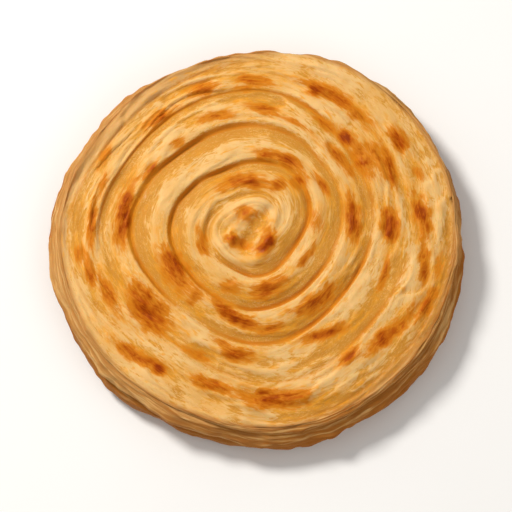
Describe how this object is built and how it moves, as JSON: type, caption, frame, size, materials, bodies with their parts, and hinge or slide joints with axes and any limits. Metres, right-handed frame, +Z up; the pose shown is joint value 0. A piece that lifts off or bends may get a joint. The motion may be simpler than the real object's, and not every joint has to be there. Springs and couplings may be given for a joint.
{
  "type": "paratha flatbread",
  "caption": "Thick round flaky layered flatbread: a strip of dough coiled into a spiral with raised overlapping ridges, browned spots and a layered puffy side.",
  "frame": {"origin": "middle of the flat underside, on the surface the bread lies on", "axes": "+Z up through the bread, from the underside to the coiled top; +X to the right and +Y away from the viewer when the coil is seen from above, running outwards anticlockwise"},
  "size_m": [0.1808, 0.1754, 0.0232],
  "materials": {
    "griddled_dough": "golden flaky dough with brown griddle spots and a light sheen of ghee"
  },
  "bodies": {
    "root": {"paratha": "griddled_dough"}
  },
  "joints": []
}
